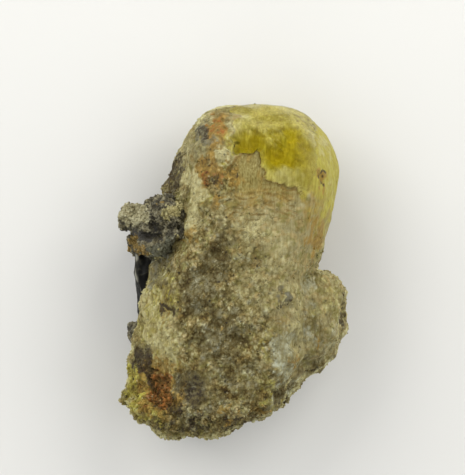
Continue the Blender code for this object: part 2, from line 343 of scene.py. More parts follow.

# %% [markdown]
# ## Where each mineral lies
# A natural crust isn't even: grey, cream, ochre and rust lie in patches, and the clear cap has an
# amber body with milky clouds and pale veils. Each patch is an ellipse, named after its mineral, and
# noise bends its edge. The masks then drive both the relief and the colours, so that the painted
# shade of a pit lies where the pit is sunk.

# %% Where each mineral lies
PATCHES = {  # mineral: across, along, reach across, reach along in mm, strength, turn in degrees if any
    "grey": [
        (-7.6, 11.2, 1, 2.6, 0.9, -12), (-2.4, 1.4, 1.9, 3.2, 0.9, -20), (-4.4, -1.8, 2.5, 4.2, 0.95, -28),
        (-1.6, -7.6, 3.4, 3.8, 0.8), (-5.3, -14.4, 2.5, 2.8, 1, 20), (-0.6, -13.6, 3.8, 3, 0.5),
        (6.4, -2.9, 0.7, 0.7, 0.9), (6.4, -15, 1.8, 1.6, 0.8, 30), (9.6, -11.6, 0.8, 0.7, 0.8),
        (-8.6, 1, 1, 3.2, 0.6, -16), (3.2, -4.6, 2.6, 2.2, 0.4), (-1.2, 5.6, 1.2, 1, 0.6),
        (9.4, -12, 1.6, 1.6, 0.5), (-2.2, 17.9, 1.1, 1.5, 0.65), (3.4, -15.6, 2.6, 1.2, 0.5),
        (7.5, -9.5, 6, 6.5, 0.4), (-11.4, -10.8, 1.6, 1.5, 0.9, 20), (-6, 15.4, 1.5, 2.6, 0.4, -25),
        (-1, -16.8, 7, 1.6, 0.5),
    ],
    "ash": [
        (-3.4, 16.8, 1.2, 1.9, 0.9, 8), (-3.9, 18.2, 0.6, 0.8, 0.5), (6.3, -2.9, 0.8, 0.7, 0.6),
        (-4.8, -14.6, 1.8, 2.2, 0.35, 20), (-9.9, 0.9, 0.9, 2.9, 0.8, -22),
    ],
    "frost": [
        (5.9, -9.6, 1.5, 3.6, 0.75), (8.8, -6.6, 0.8, 2.8, 0.5), (6.2, -13.4, 0.9, 1.8, 0.5),
        (9, -1.6, 0.9, 1.6, 0.5), (12.6, -7.4, 0.8, 2.4, 0.4), (1.6, 1.4, 1.2, 1.6, 0.4),
    ],
    "dark": [
        (-3.7, 17.2, 0.8, 0.9, 0.6, 8), (-7.7, 12.2, 1.1, 2.9, 0.68, -14),
        (-11.5, -11.2, 1.4, 1.5, 1.2, 20), (-10.7, -12.8, 0.5, 1.1, 1, 25), (-8.9, -4.7, 0.28, 0.6, 1.2),
        (-8.2, -4.4, 0.8, 0.3, 1.2), (-7.5, -4.7, 0.28, 0.6, 1.2), (6.6, -3.5, 0.25, 0.25, 1.2),
        (5.9, -3.9, 0.9, 0.35, 0.4, 35), (-7.4, -16.6, 1.3, 0.7, 0.8, -30), (5.9, -16, 0.6, 0.4, 0.8, 20),
        (13.5, -4.6, 0.3, 2.2, 0.7), (10.6, 12.3, 0.24, 0.4, 0.9, -8), (10.5, 11.5, 0.2, 0.3, 0.8),
        (10.5, 10.8, 0.22, 0.35, 0.9), (9.6, -11.7, 0.4, 0.4, 0.8), (-2.5, 11.1, 0.7, 0.5, 0.4, -10),
        (0.1, 15.9, 0.2, 0.2, 1), (0.1, 11.8, 0.25, 0.5, 0.4), (5.9, -16.9, 1.2, 0.5, 0.6, 25),
        # The second patch on the next line, a wide strip along the foot, is painted shade: the foot darker
        # where the light falls off.
        (-5.2, -14.4, 1.8, 2.3, 0.56, 20), (-3.4, -18.4, 7.6, 1.5, 0.45, 3),
    ],
    "cream": [
        (-5.5, 16.8, 4.2, 1.7, 0.55, 57), (-4.9, 10.2, 1.3, 2.6, 1), (-5.3, 6.4, 0.9, 1.9, 0.8),
        (-10.2, -2.4, 1.9, 3.6, 0.5, -14), (-9.2, -7.4, 2.4, 3, 0.55), (1.9, 4.9, 2.4, 2, 0.55),
        (-8.8, -9.4, 2.4, 3, 0.8), (5.9, -9.8, 1.1, 3.4, 0.2), (-10.2, -5.5, 1.8, 3.6, 0.5),
        (7.6, -7, 1.1, 5.6, 0.65), (5.5, 1.8, 2.4, 2.4, 0.45), (11.6, -3.2, 1.5, 2.4, 0.35),
        (12.2, -8, 1.4, 2.6, 0.5), (-1.3, 14, 0.8, 0.8, 1), (0.6, 18.6, 0.9, 1.1, 0.8),
        (0.4, 16.9, 0.8, 0.7, 0.5), (9, -0.4, 1, 1.8, 0.3), (11.3, 15.6, 0.9, 1.6, 0.5, 20),
        (11.8, 10.6, 0.5, 2.2, 0.25), (3.6, -2.4, 3.4, 3.6, 0.4), (10.9, -9.8, 1.8, 1.4, 0.5),
        (-2.9, 17.3, 0.25, 0.4, 0.9),
    ],
    "rust": [
        (-2.1, 18, 1.2, 1.6, 0.44, 20), (-9, -14.4, 1.8, 2.3, 1.1, 8), (-10.6, -12.2, 0.7, 0.7, 0.6, 40),
        (-2.4, 11.6, 1.4, 1.2, 0.35, 20),
    ],
    "ochre": [
        (-2.7, 12.4, 1.8, 1.9, 1, 20), (-0.4, 11.4, 0.6, 1.3, 0.8), (9.9, 4.6, 0.9, 2.6, 0.85),
        (-3.1, 15, 1, 1.2, 0.6), (-5.4, 4.8, 0.8, 1, 0.7), (-2.5, 8.3, 0.9, 1, 0.6),
        (-1.9, 17.7, 1.4, 1.9, 0.95, 10), (-9.3, -14.2, 3, 3.9, 0.8, 10), (0.9, -17.2, 3.5, 1.2, 0.4),
        (8.1, 18.7, 1, 0.4, 0.5, -20), (2.6, 18.9, 0.8, 0.4, 0.4), (10.7, 11.6, 0.5, 1.5, 1),
        (3, 8.9, 5.2, 1.5, 0.3), (9.9, 6.4, 1.8, 4.6, 0.4), (7.1, -11.1, 0.35, 0.5, 0.8),
        (10.1, -8.3, 0.35, 0.6, 0.6), (-8.8, -11.7, 2, 1, 0.6, 10), (-8.2, -4.8, 1.4, 0.9, 0.45),
    ],
    "yellow": [
        (9.8, 12.8, 2.6, 3.8, 1, 8), (-12.4, -14.4, 1.9, 3, 1), (-8.4, -9.6, 1.6, 2, 1),
        (3.9, -15, 1.1, 2, 0.5), (3.8, -8.5, 0.8, 2.4, 0.4), (7.8, -6.6, 0.5, 1.6, 0.4),
        (9.3, -5.3, 0.9, 0.9, 0.25), (-10.4, -17, 2.6, 1.5, 0.7, -35), (10.6, 7.2, 1.6, 5, 0.5, 6),
        (12, 13.5, 2.4, 7.5, 1), (-9.6, -4.4, 2.2, 5, 0.6, -10), (-8.6, -10.4, 1.9, 2.2, 0.6),
        (-0.5, 15.6, 1.1, 2, 0.7), (1.6, 15.7, 1.7, 1, 0.75, 18), (-4.4, 9, 1, 1.6, 0.5),
        (12, -3, 1.4, 2.6, 0.3),
    ],
    "amber": [
        (1.9, 15.9, 2.4, 1.3, 1, 18), (5.9, 14.6, 2.7, 2, 1), (2.5, 16.8, 1.2, 0.9, 0.95),
        (7.6, 16.2, 1.7, 1.3, 0.95, -25), (4.9, 13.4, 1.5, 1.2, 0.8), (10.4, 13.6, 2.6, 4.6, 0.14),
    ],
    "milk": [
        (5.9, 11.9, 2.4, 1.2, 0.95, -18), (9.5, 16, 1.2, 1.1, 0.7, -30), (0.4, 16.9, 0.9, 0.7, 0.6),
        (0.6, 18.6, 1, 1.1, 0.7), (2.7, 17.8, 1.5, 0.5, 0.5, 10), (-0.3, 15.6, 0.8, 1.2, 0.4),
    ],
    "veil": [
        (4.4, 16.4, 2, 0.9, 1, -34), (5.6, 17.9, 1.4, 0.4, 0.7, 15), (3.2, 15, 0.2, 0.9, 0.9, -6),
        (9.4, 16.3, 1.9, 1.1, 1, -35), (2.2, 18.3, 1.3, 0.5, 0.7, 25), (7.9, 14.2, 0.25, 1.2, 0.5),
        (1.6, 17.3, 1.6, 0.5, 0.7, 12), (5.6, 12.3, 1.9, 0.8, 0.8, -18), (0.2, 18.6, 0.9, 1, 0.8),
    ],
}
CRUST_MINERALS = ("grey", "ash", "frost", "dark", "cream", "rust", "ochre", "yellow")
EDGES = {  # bend and softness of the edges that differ
    "amber": (0.25, 0.75), "veil": (0.3, 0.7), "milk": (0.3, 0.7), "dark": (0.22, 0.35),
}
COMMON_EDGE = (0.42, 0.35)


def bent(at, amount, size, seed):
    """Places across and along, shifted by noise so that a patch's edge wanders."""
    shift = [waves(at, size, seed + k) + 0.45 * waves(at, size * 0.35, seed + 7 + k) for k in range(2)]
    return at[:, :2] + amount * np.stack(shift, axis=1)


def patch_mask(at, mineral):
    """0..1: the strongest of a mineral's patches at each point, each an ellipse with a bent, soft edge."""
    bend, softness = EDGES.get(mineral, COMMON_EDGE)
    place = bent(at, bend, 1.1, 40)
    strongest = np.zeros(len(at))
    for x, y, across, along, strength, *turn in PATCHES[mineral]:
        c, s = np.cos(np.radians(sum(turn))), np.sin(np.radians(sum(turn)))
        off_x, off_y = (place - np.array([x, y])).T
        distance = np.hypot((off_x * c + off_y * s) / across, (off_y * c - off_x * s) / along)
        strongest = np.maximum(strongest, strength * (1 - ramp(distance, 1 - softness, 1 + softness)))
    return strongest


def picked(mask, at, tone, smooth, seed):
    """The mask as whole grains: where it is half strength, about half of the grains are of its mineral."""
    draw = (tone * (37.7 + 11.3 * seed)) % 1 - 0.5
    grainy = ramp(mask + 0.6 * draw + 0.16 * waves(at, 0.9, 50 + seed), 0.25, 0.75)
    share = 0.4 + 0.6 * smooth
    return mask * share + grainy * (1 - share)


print("patches:", {mineral: len(found) for mineral, found in PATCHES.items()})

# %% [markdown]
# ## Relief
# The skin starts from the solid's own lumps. On that come packed grains, pits where a grain is
# missing, the broken edge of a thin layer that has peeled off the upper face, one round grain, and
# growth lines. The crease between the crystals is rounded by crust. The clear cap and the peeled
# window stay smooth. The relief moves points along the normals, because a bump map alone would
# leave the outline smooth.

# %% Relief
LEDGE_DEPTH, LEDGE_WIDTH = 0.4, 0.22  # millimetres, as is every size below
LEDGE = [(-2.2, 11.2), (-1.0, 12.4), (0.0, 13.7), (0.7, 14.5), (2.0, 14.7), (2.9, 14.9), (3.2, 13.6),
         (3.5, 12.2), (4.5, 11.1), (6.1, 10.7), (7.6, 10.0), (8.4, 8.6), (9.4, 6.4)]
SKIN_INSET = 0.12
RIM_DEPTH, AMBER_DEPTH = 0.3, 1.25
SEAM_HEIGHT, PIT_DEPTH = 0.75, 0.35
PEBBLE_X, PEBBLE_Y, PEBBLE_RADIUS, PEBBLE_HEIGHT = -1.65, 14.2, 0.85, 0.3
GRITTY = [  # where the crust is coarsest: centre across and along, reach, in mm
    ((-4.0, -0.5), (4.2, 7.0)), ((-1.5, -8.0), (6.5, 5.5)), ((-4.0, -15.5), (8.0, 3.5)),
    ((11.5, -6.5), (2.8, 6.0)), ((5.5, -12.5), (4.0, 4.0)), ((-8.6, 11.6), (1.4, 3.4)),
    ((-2.6, 12.2), (2.0, 2.6)),
]


def near_ledge(at):
    """Slightly bent places across and along, and how far each is up the crystal from the ledge."""
    across, along = bent(at, 0.1, 0.5, 60).T
    return across, along, along - through(LEDGE, across)


def peeled(at):
    """1 inside the patch below the ledge, fading out down the crystal."""
    across, along, above = near_ledge(at)
    below = ramp(-above, -LEDGE_WIDTH / 2, LEDGE_WIDTH / 2)
    beside = between(across, -1.9, -0.9, 8.0, 8.8)
    return below * np.clip((along - 7.6) / 3, 0, 1) * beside * (at[:, 2] > BELT_Z)


def flank_pit(at):
    """A narrow weathered pit in the right flank of the cap: a bell across and along it."""
    return hump(bent(at, 0.12, 0.5, 69), (10.6, 11.6), (0.3, 0.9)) * (at[:, 2] > 6)


def clear_zone(at):
    """1 where the crystal is clear at its surface: above the ledge, fading out before the right flank."""
    across, along, above = near_ledge(at)
    wander = 0.5 * waves(at, 1.2, 63) + 0.25 * waves(at, 0.5, 64)
    fade = ramp(along + 1.6 * wander, 7.4, 14.2) + ramp(-across, -8.4, -7.4)
    left = ramp(across + 0.8 * wander, -0.8, 1.9)
    flank = 1 - ramp(across + 0.5 * wander, 8.4, 10.8)
    upper = ramp(above, -LEDGE_WIDTH / 2, LEDGE_WIDTH / 2)
    return upper * np.clip(fade, 0, 1) * left * flank * ramp(at[:, 2], 1.6, 3.0)


def clear_depth(at, clear, amber, veil):
    """How deep the clear crystal goes before it turns cloudy, in millimetres."""
    uneven = 0.07 * waves(at, 1.1, 61) + 0.03 * waves(at * np.array([1, 0.4, 1]), 0.4, 62)
    top = ramp(at[:, 2], BELT_Z + 1.5, BELT_Z + 4.5)
    deep = RIM_DEPTH + AMBER_DEPTH * amber * top + uneven * (1 + amber * top)
    return clear * np.clip(deep, 0.16, 2.0) * (1 - 0.75 * veil)


def ledge_line(at):
    """1 on the thin brown line along the ledge, partly painted shadow under the raised layer; it fades out to
    the right.
    """
    across, _, above = near_ledge(at)
    slope = (through(LEDGE, across + 0.05) - through(LEDGE, across - 0.05)) / 0.1
    distance = above / np.hypot(1, slope)
    return np.exp(-((distance / 0.13) ** 2)) * between(across, -2.2, -1.6, 6.8, 8.2) * (at[:, 2] > BELT_Z)


def feathers(at):
    """0..1: thin wisps that run down to the right, where a stretched noise is near its middle."""
    c, s = np.cos(np.radians(-34)), np.sin(np.radians(-34))
    along, across = at[:, 0] * c + at[:, 1] * s, at[:, 1] * c - at[:, 0] * s
    wisps = np.abs(waves(np.stack([along / 2.2, across / 0.5, 0 * across], axis=1), 1.0, 67))
    return np.clip(1.15 - 1.1 * wisps, 0, 1)


def painted_rim_light(at, normal, form):
    """0..1: painted rim light: how far the crust is painted pale, where the crystal turns over and inside its
    widest outline.

    It is left out at the crease between the crystals, halved beside it, and more even at the foot.
    """
    x, y, z = at.T
    slope = (half_width(form, y + 0.05) - half_width(form, y - 0.05)) / 0.1
    inside = (half_width(form, y) - np.abs(x - middle_x(form, y))) / np.hypot(1, slope)
    rim_light_paint = np.maximum(ramp(-normal[:, 2], -0.4, -0.05), 0.9 * ramp(-inside, -0.7, -0.1)) * ramp(z, 2.5, 4.5)
    rim_light_paint = rim_light_paint * (1 - between(x, 4.5, 6, 9.6, 10.2) * between(y, -12.5, -11, 0, 2))
    rim_light_paint = rim_light_paint * (1 - 0.5 * ramp(x, 6, 9) * ramp(y, -1, 2))
    return rim_light_paint * ramp(rim_light_paint + 0.35 * waves(at, 1.1, 68) + 0.25 * ramp(-y, 12, 15), 0.3, 0.9)


def seam_fill(at):
    """The crust that rounds the crease between the crystals: a bell round the line where they cross."""
    along = between(at[:, 1], -12.5, -9, -2.4, -0.2)
    return SEAM_HEIGHT * along * hump(at[:, [0, 2]], (8.2, 12.4), (1.4, 1.4))


def lumps_of(at):
    """The solid's own lumps and hollows, in millimetres."""
    y = at[:, 1]
    coarse = np.clip((13 - y) / 9, 0.25, 1) * (1 - 0.75 * ramp(at[:, 0], 5, 8) * ramp(y, -3, 3))
    broken = np.clip((-13 - y) / 4, 0, 1)
    lumps = 0.2 * waves(at, 5.5, 1) + 0.17 * coarse * waves(at, 1.7, 2) + 0.26 * broken * waves(at, 2.6, 3)
    hollows = hump(at, (-8.6, -12.8, 13), (1.9, 3.0, 5)) + 0.5 * hump(at, (-8.2, -4.7, 14), (1.2, 0.9, 4))
    return lumps + seam_fill(at) - hollows


def lumpy(plain):
    """A plain surface's points with the solid's lumps, inset to leave room for grains, and its normals."""
    at, normal = plain.reshape(-1, 3), outward(plain).reshape(-1, 3)
    return at + normal * (lumps_of(at) - SKIN_INSET)[:, None], normal


def smoothness(at):
    """1 on the clear cap and in the peeled window, less down the right flank, 0 on the granular crust."""
    across, along = bent(at, 0.5, 1.3, 70).T
    x, y, z = at.T
    flank = 0.55 * ramp(across, 2.5, 5.5) * ramp(along, -17, -11) * ramp(z, 7, 11)
    flank = flank + 0.35 * ramp(along, 0, 6) * ramp(across, -2, 1)
    return (z > 2) * np.maximum.reduce([
        ramp(along - 0.28 * across, 12.4, 14.6) * ramp(across, -0.9, 0.6),
        ramp(across, 6.2, 8.6) * ramp(along, -1.0, 6.0),
        ramp(along, 7.6, 9.6) * between(across, -1.4, 0.2, 8.6, 9.6),
        0.4 * ramp(along, 10, 14) * ramp(across, -9, -7) * (z > 4),
        np.minimum(flank, 0.7),
        0.4 * np.clip(1.4 - np.hypot((x + 9.6) / 2.2, (y + 6) / 5.5), 0, 1),
        0.6 * np.clip(1.5 - np.hypot((x + 4.8) / 1.8, (y + 14) / 2.2), 0, 1),
    ])


def grain_relief(at, smooth):
    """Grains of the crust, as (relief in millimetres, tone, painted cavity shade 0..1). The foot's are the
    coarsest.
    """
    foot = ramp(-at[:, 1], 15.4, 17.0)
    calm = np.clip(1 - 0.85 * smooth, 0, 1)
    streak = ramp(at[:, 0], 4.6, 7.0) * ramp(at[:, 1], -16, -12)
    near, tone = cells(at, 0.44, 11)
    big_near, big_tone = cells(at * np.array([1, 0.9, 1]), 0.95, 12)
    coarse_near, coarse_tone = cells(at, 0.72, 13)
    fine = 0.13 * (0.55 - near) + 0.06 * (tone - 0.5)
    clump = 0.22 * (0.55 - big_near) + 0.07 * waves(at, 1.3, 23)
    furrow = 1 - ramp(np.abs(waves(at, 0.62, 21) + 0.5 * waves(at, 0.33, 22)), 0.0, 0.5)
    groove = -0.20 * furrow * (1 - 0.6 * streak)
    relief = calm * ((1 - foot) * (fine + clump + groove) + foot * (0.40 * (0.6 - coarse_near) + 0.5 * fine))
    cavity = furrow * (1 - foot) + ramp(near, 0.5, 0.9) * 0.8 + foot * ramp(coarse_near, 0.5, 0.85)
    grain_tone = np.where(foot > 0.5, coarse_tone, 0.65 * tone + 0.35 * big_tone)
    return relief, grain_tone, calm * np.clip(cavity, 0, 1)


def net_relief(at, rust):
    """A net of raised strands between deep holes, in the rust hollow: strands lie where noise is near 0."""
    noise = np.abs(waves(at, 0.42, 31) + 0.5 * waves(at, 0.3, 32))
    hole = ramp(noise, 0.35, 1.0) * ramp(rust, 0.3, 0.8)
    return -0.45 * hole, 0.8 * hole


def growth_lines(at):
    """Relief and shade of fine arcs across the peeled face, with fainter lines down the right flank."""
    across, along = bent(at, 0.1, 1.2, 80).T
    arc = along + 0.035 * (across - 2) ** 2 + 0.07 * waves(at, 0.8, 85)
    band = between(along, 5.6, 7.4, 9.8, 11.6) * between(across, -2.6, -1.0, 7.6, 9.0)
    line = np.cos(2 * np.pi * arc / 0.62) + 0.6 * np.cos(2 * np.pi * arc / 0.37 + 1.3)
    flank = ramp(across, 4.6, 6.4) * ramp(at[:, 2], 6, 9)
    down = waves(np.stack([across / 0.16, along / 3.0, 0 * across], axis=1), 1.0, 84)
    shade = 0.95 * band * np.clip(-line, 0, 1) * ramp(waves(at, 1.1, 86), -0.9, 0.6)
    return 0.045 * band * line + 0.03 * flank * down, shade


def mineral_masks(at, smooth, tone, pebble):
    """Each mineral's mask, those of the crust broken into whole grains. The round grain is cream."""
    masks = {mineral: patch_mask(at, mineral) for mineral in PATCHES}
    rusty = ramp(masks["rust"], 0, 0.1)
    for k, mineral in enumerate(CRUST_MINERALS):
        even = np.maximum(smooth, 0.8) if mineral == "yellow" else smooth
        masks[mineral] = picked(masks[mineral], at, tone, even, k)
    masks["rust"] = masks["rust"] * rusty
    masks["veil"] = masks["veil"] * feathers(at)
    masks["ochre"] = masks["ochre"] * (1 - ramp(pebble, 0.0, 0.5))
    masks["cream"] = np.maximum(masks["cream"], ramp(pebble, 0.0, 0.4))
    return masks


def crystal_skin(form, rows, around):
    """The skin's points (rows, around, 3) and its masks, each (rows * around,)."""
    plain = prism_surface(form, rows, around)
    at, _ = lumpy(plain)
    normal = outward(at.reshape(plain.shape)).reshape(-1, 3)
    y, upper = at[:, 1], at[:, 2] > BELT_Z
    smooth = np.maximum(smoothness(at), 0.5 * patch_mask(at, "cream"))
    grains, tone, cavity = grain_relief(at, smooth)
    pebble = np.clip(1 - ((at[:, 0] - PEBBLE_X) ** 2 + (y - PEBBLE_Y) ** 2) / PEBBLE_RADIUS**2, 0, 1) * upper
    masks = mineral_masks(at, smooth, tone, pebble)
    clear, window = clear_zone(at), peeled(at)
    net, hole = net_relief(at, masks["rust"] * (y < 0))
    lines, line_shade = growth_lines(at)
    surface = grains + net + lines + PEBBLE_HEIGHT * pebble - LEDGE_DEPTH * window - PIT_DEPTH * flank_pit(at)
    surface = surface + 0.05 * waves(at, 0.9, 90) * (1 - 0.5 * smooth)
    depth = clear_depth(at, clear, masks["amber"], masks["veil"])
    relief = surface * (1 - 0.85 * ramp(clear, 0.0, 0.4)) - depth
    edge = painted_rim_light(at, normal, form)
    masks["dark"] = masks["dark"] * (1 - 0.6 * edge * (y < -14))
    masks.update(
        tone=tone, smooth=smooth, window=window, clear=clear,
        # Painted shade in grain gaps, furrows, net holes and the troughs of the growth arcs.
        cavity=np.clip(cavity + hole + 0.45 * line_shade, 0, 1),
        line=np.maximum(ledge_line(at), line_shade),
        edge=edge * (1 - 0.8 * np.clip(masks["dark"], 0, 1)),
        grit=near_spots(at[:, :2], GRITTY, 0.6, 1.3) * (1 - 0.8 * masks["cream"]) - 0.35 * masks["cream"],
    )
    skin = at + normal * relief[:, None]
    back = np.clip(0.25 * waves(skin, 1.6, 95) + 0.12 * waves(skin, 0.6, 96) + 0.15, 0, 0.8)
    skin[:, 2] = np.maximum(skin[:, 2], np.where(skin[:, 2] < 0.9, back, 0))
    return skin.reshape(plain.shape), masks


main_skin, main_masks = crystal_skin(main_form(), *MAIN_GRID)
print("main skin:", {k: round(float(v.mean()), 2) for k, v in main_masks.items()})

# %% [markdown]
# ## From arrays to meshes
# A grid of points becomes a closed mesh: quads between neighbouring rows, and a fan of triangles to
# one point at each end. The masks go in as attributes, one number for each vertex.


# %% From arrays to meshes
def closed_faces(rows, around):
    """Vertex numbers of the quads between rows, and of the triangles that close the first and last row."""
    k = np.arange(rows - 1)[:, None] * around
    j = np.arange(around)[None, :]
    after = (j + 1) % around
    quads = np.stack([k + j, k + around + j, k + around + after, k + after], axis=2).reshape(-1, 4)
    first, last, end = rows * around, rows * around + 1, (rows - 1) * around
    j, after = j[0], after[0]
    cap = np.stack([np.full(around, first), j, after], axis=1)
    foot = np.stack([np.full(around, last), end + after, end + j], axis=1)
    return quads, np.concatenate([cap, foot])


def make_mesh(name, points_mm, face_lists, smooth=True):
    """A mesh in metres from points and arrays of faces, each array with its own number of corners."""
    mesh = bpy.data.meshes.new(name)
    corners = np.concatenate([faces.ravel() for faces in face_lists])
    sizes = np.concatenate([np.full(len(faces), faces.shape[1]) for faces in face_lists])
    mesh.vertices.add(len(points_mm))
    mesh.vertices.foreach_set("co", (points_mm * MM).astype(np.float32).ravel())
    mesh.loops.add(len(corners))
    mesh.loops.foreach_set("vertex_index", corners.astype(np.int32))
    mesh.polygons.add(len(sizes))
    mesh.polygons.foreach_set("loop_start", (np.cumsum(sizes) - sizes).astype(np.int32))
    mesh.polygons.foreach_set("use_smooth", np.full(len(sizes), smooth))
    mesh.update(calc_edges=True)
    mesh.validate()
    return mesh


def faces_outward(mesh):
    """Turns every face round if the mesh's signed volume is negative, and gives its size in mm3."""
    mesh.calc_loop_triangles()
    index = np.empty(len(mesh.loop_triangles) * 3, np.int32)
    mesh.loop_triangles.foreach_get("vertices", index)
    at = np.empty(len(mesh.vertices) * 3, np.float32)
    mesh.vertices.foreach_get("co", at)
    a, b, c = at.reshape(-1, 3)[index.reshape(-1, 3)].transpose(1, 0, 2)
    volume = float((a * np.cross(b, c)).sum()) / 6 / MM**3
    if volume < 0:
        mesh.flip_normals()
    return abs(volume)


def set_masks(mesh, masks):
    for name, values in masks.items():
        mesh.attributes.new(name, "FLOAT", "POINT").data.foreach_set("value", values.astype(np.float32))


def closed_skin(name, rows, masks):
    """A closed mesh from rows of points, with each end's row drawn together to its mean."""
    tips = np.array([rows[0].mean(axis=0), rows[-1].mean(axis=0)])
    mesh = make_mesh(name, np.vstack([rows.reshape(-1, 3), tips]), closed_faces(*rows.shape[:2]))
    around = rows.shape[1]
    ends = {name: [values[:around].mean(), values[-around:].mean()] for name, values in masks.items()}
    set_masks(mesh, {name: np.concatenate([values, ends[name]]) for name, values in masks.items()})
    print(f"{name}: {len(mesh.vertices)} vertices, {faces_outward(mesh):.0f} mm3")
    return mesh


def add_piece(mesh, material, node):
    """Links a finished piece under its mesh's name, rides it on the one body and hides the frame's part that
    it stands for.
    """
    piece = bpy.data.objects.new(mesh.name, mesh)
    mesh.materials.append(material)
    bpy.context.scene.collection.objects.link(piece)
    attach(piece, "root")
    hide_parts(node)


# %% [markdown]
# ## Shader maths
# A material mixes masks and noise. Written as node links that is hard to read, so one class wraps a
# socket and turns Python's operators into Math nodes, and one method makes any other node.


# %% Shader maths
class Field:
    """A number, colour or vector that varies over a surface: one output socket, with arithmetic."""

    def __init__(self, finish, socket):
        self.finish, self.socket = finish, socket

    def _maths(self, operation, first, second, clamp=False):
        settings = {"operation": operation, "use_clamp": clamp}
        return self.finish.node("ShaderNodeMath", settings, {0: first, 1: second})

    def __add__(self, other):
        return self._maths("ADD", self, other)

    def __sub__(self, other):
        return self._maths("SUBTRACT", self, other)

    def __rsub__(self, other):
        return self._maths("SUBTRACT", other, self)

    def __mul__(self, other):
        return self._maths("MULTIPLY", self, other)

    def __pow__(self, other):
        return self._maths("POWER", self, other)

    def clamped(self):
        return self._maths("ADD", self, 0.0, clamp=True)

    def at_least(self, low):
        return self._maths("MAXIMUM", self, low)

    __radd__, __rmul__ = __add__, __mul__


class Finish:
    """A material that is built with expressions. Constants go straight on its Principled shader."""

    def __init__(self, name, **constants):
        self.material = bpy.data.materials.new(name)
        self.material.use_nodes = True
        self.tree = self.material.node_tree
        self.shader = self.tree.nodes["Principled BSDF"]
        self.set(self.shader, constants)
        self.place = self.node("ShaderNodeTexCoord", output="Object")

    def set(self, node, values):
        """Sets or links sockets by name or number. A name's underscores stand for spaces."""
        for key, value in values.items():
            socket = node.inputs[key.replace("_", " ") if isinstance(key, str) else key]
            if isinstance(value, Field):
                self.tree.links.new(value.socket, socket)
            elif isinstance(value, tuple) and len(value) == 3 and socket.type == "RGBA":
                socket.default_value = (*value, 1)
            else:
                socket.default_value = value

    def node(self, kind, settings=None, inputs=None, output=0):
        """A new node: its settings first, then its sockets, and the output asked for as a Field."""
        made = self.tree.nodes.new(kind)
        for key, value in (settings or {}).items():
            setattr(made, key, value)
        self.set(made, inputs or {})
        if isinstance(output, tuple):
            return tuple(Field(self, made.outputs[name]) for name in output)
        return Field(self, made.outputs[output])

    def masks(self, *names):
        """The mesh's masks as Fields, by name."""
        return {name: self.node("ShaderNodeAttribute", {"attribute_name": name}, output="Fac")
                for name in names}

    def stretched(self, place, stretch):
        return self.node("ShaderNodeMapping", inputs={"Vector": place, "Scale": stretch})

    def noise(self, size_mm, detail=3.0, stretch=(1, 1, 1)):
        """Noise about 0.5, with features of this size, or longer along an axis whose stretch is under 1."""
        place = self.stretched(self.place, stretch)
        inputs = {"Vector": place, "Scale": 1 / (size_mm * MM), "Detail": detail}
        return self.node("ShaderNodeTexNoise", inputs=inputs)

    def packed(self, place, size_mm):
        """Packed cells of this size, as (distance from the nearest one's middle, its own number)."""
        inputs = {"Vector": place, "Scale": 1 / (size_mm * MM)}
        distance, colour = self.node("ShaderNodeTexVoronoi", inputs=inputs, output=("Distance", "Color"))
        return distance, self.node("ShaderNodeSeparateColor", inputs={0: colour})

    def grains(self, size_mm, stretch=(1, 1, 1), bend_mm=0.12):
        """Packed grains of this size, whose places a noise bends by up to this many millimetres."""
        noise = {"Vector": self.place, "Scale": 0.8 / (size_mm * MM), "Detail": 2.0}
        bend = self.node("ShaderNodeTexNoise", inputs=noise, output="Color")
        shift = {0: bend, 1: (2 * bend_mm * MM,) * 3, 2: self.place}
        place = self.node("ShaderNodeVectorMath", {"operation": "MULTIPLY_ADD"}, shift)
        return self.packed(self.stretched(place, stretch), size_mm)

    def dots(self, spacing_mm, radius_mm, share):
        """1 inside scattered round dots of this radius, in this share of cells of this spacing."""
        distance, chance = self.packed(self.place, spacing_mm)
        radius = radius_mm / spacing_mm
        return self.step(distance, 1.2 * radius, 0.6 * radius) * self.step(chance, 1 - share, 1.03 - share)

    def step(self, value, low, high):
        """0 at low and 1 at high, smooth between, with low above high for a fall."""
        return self.node("ShaderNodeMapRange", {"interpolation_type": "SMOOTHSTEP"},
                         {"Value": value, "From_Min": low, "From_Max": high})

    def mix(self, first, second, share, blend="MIX"):
        """The first colour with this share of the second. The Mix node's colours are its sockets 6 and 7."""
        settings = {"data_type": "RGBA", "blend_type": blend}
        return self.node("ShaderNodeMix", settings, {0: share, 6: first, 7: second}, output=2)

    def laid(self, colour, *layers):
        """The colour with each (pigment, share) laid over it in turn."""
        for pigment, share in layers:
            colour = self.mix(colour, pigment, share)
        return colour

    def lit(self, colour, light, red, blue):
        """The colour times the light, whose red and blue are raised to their own powers."""
        shade = self.node("ShaderNodeCombineColor", inputs={0: light**red, 1: light, 2: light**blue})
        return self.mix(colour, shade, 1.0, "MULTIPLY")

    def bump(self, height, distance_mm, strength):
        inputs = {"Height": height, "Distance": distance_mm * MM, "Strength": strength}
        return self.node("ShaderNodeBump", inputs=inputs, output="Normal")


# %% [markdown]
# ## Crust finish
# The crust is one material with many minerals in it. Each mask lays its own pigment over the base,
# from the widest to the smallest, and a finer noise breaks its edge. Under the clear body the skin
# is the cloudy crystal instead. A painted pale rim light follows the outline. Each grain gets its own
# tone and a painted shade, lighter in its middle; the cavities between grains get a dark brown painted
# shade, painted glints and shaded pinholes are dotted on, and fine noise speckles the whole. Grains are
# dull with a few bright facets, so roughness follows the grain's tone.

